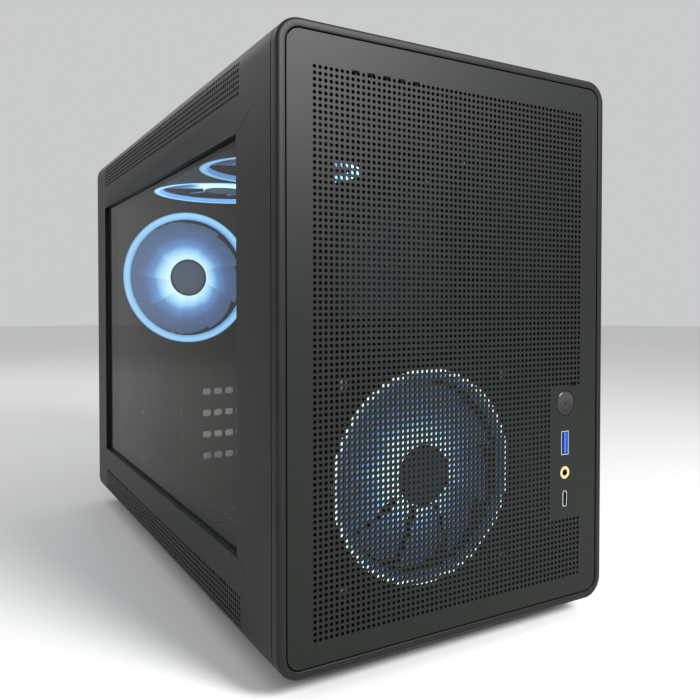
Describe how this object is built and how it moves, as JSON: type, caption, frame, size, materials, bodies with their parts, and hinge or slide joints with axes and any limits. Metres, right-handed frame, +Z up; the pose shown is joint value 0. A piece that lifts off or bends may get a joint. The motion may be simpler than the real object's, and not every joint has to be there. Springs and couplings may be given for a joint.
{
  "type": "computer case",
  "caption": "Compact micro ATX computer case with a perforated front plate, a tinted window side, removable steel panels and lit cooling fans.",
  "frame": {"origin": "centre of the bounding box's bottom, on the ground under the feet", "axes": "+Z up, -Y to the perforated front, -X to the window side"},
  "size_m": [0.202, 0.39, 0.301],
  "materials": {
    "powder_steel": "matte textured powder coat",
    "inner_steel": "matte",
    "zinc": "satin",
    "brass": "satin",
    "black_plastic": "fine matte",
    "circuit_board": "satin",
    "blue_plastic": "gloss",
    "light_ring": "translucent diffuser, lit",
    "rotor_plastic": "translucent",
    "copper": "enamelled wire",
    "rubber": "matte",
    "window_glass": "tinted gloss"
  },
  "bodies": {
    "chassis": {"floor_pan": "inner_steel", "roof_frame": "inner_steel", "front_wall": "inner_steel", "rear_wall": "inner_steel", "motherboard_tray": "inner_steel", "front_ring": "powder_steel", "standoffs": "brass", "slot_covers": "inner_steel", "slot_screws": "zinc", "psu_bracket": "inner_steel", "psu_bracket_screws": "zinc", "power_inlet": "black_plastic", "inlet_screws": "zinc", "io_housing": "black_plastic", "io_board": "circuit_board", "button_switch": "black_plastic", "usb_a_shell": "zinc", "usb_a_tongue": "blue_plastic", "audio_jack": "brass", "usb_c_shell": "zinc", "usb_c_tongue": "black_plastic", "front_fan_frame": "black_plastic", "rear_fan_frame": "black_plastic", "roof_fan_frame_front": "black_plastic", "roof_fan_frame_rear": "black_plastic", "front_fan_light": "light_ring", "rear_fan_light": "light_ring", "roof_fan_light_front": "light_ring", "roof_fan_light_rear": "light_ring", "fan_stators": "copper", "fan_screws": "zinc", "feet": "black_plastic", "foot_pads": "rubber", "foot_screws": "zinc", "panel_clips": "black_plastic"},
    "window_side": {"left_panel": "powder_steel", "window_glass": "window_glass", "window_gasket": "rubber", "left_studs": "zinc"},
    "plain_side": {"right_panel": "powder_steel", "right_studs": "zinc"},
    "roof": {"roof_panel": "powder_steel", "roof_studs": "zinc"},
    "front": {"front_plate": "powder_steel", "front_studs": "zinc"},
    "button": {"power_button": "powder_steel"},
    "front_rotor": {"front_fan_rotor": "rotor_plastic"},
    "rear_rotor": {"rear_fan_rotor": "rotor_plastic"},
    "roof_rotor_front": {"roof_fan_rotor_front": "rotor_plastic"},
    "roof_rotor_rear": {"roof_fan_rotor_rear": "rotor_plastic"}
  },
  "joints": [
    {"name": "window_side_pull", "type": "slide", "parent": "chassis", "child": "window_side", "axis": [-1, 0, 0], "range_m": [0, 0.06]},
    {"name": "plain_side_pull", "type": "slide", "parent": "chassis", "child": "plain_side", "axis": [1, 0, 0], "range_m": [0, 0.06]},
    {"name": "roof_pull", "type": "slide", "parent": "chassis", "child": "roof", "axis": [0, 0, 1], "range_m": [0, 0.05]},
    {"name": "front_pull", "type": "slide", "parent": "chassis", "child": "front", "axis": [0, -1, 0], "range_m": [0, 0.05]},
    {"name": "button_press", "type": "slide", "parent": "chassis", "child": "button", "axis": [0, 1, 0], "range_m": [0, 0.0015], "stiffness_N_per_m": 1000},
    {"name": "front_fan_spin", "type": "hinge", "parent": "chassis", "child": "front_rotor", "pos_m": [0, -0.1652, 0.084], "axis": [0, 1, 0], "continuous": true},
    {"name": "rear_fan_spin", "type": "hinge", "parent": "chassis", "child": "rear_rotor", "pos_m": [-0.02995, 0.154, 0.2006], "axis": [0, 1, 0], "continuous": true},
    {"name": "roof_fan_front_spin", "type": "hinge", "parent": "chassis", "child": "roof_rotor_front", "pos_m": [-0.011, -0.003, 0.2716], "axis": [0, 0, 1], "continuous": true},
    {"name": "roof_fan_rear_spin", "type": "hinge", "parent": "chassis", "child": "roof_rotor_rear", "pos_m": [-0.011, 0.117, 0.2716], "axis": [0, 0, 1], "continuous": true}
  ]
}
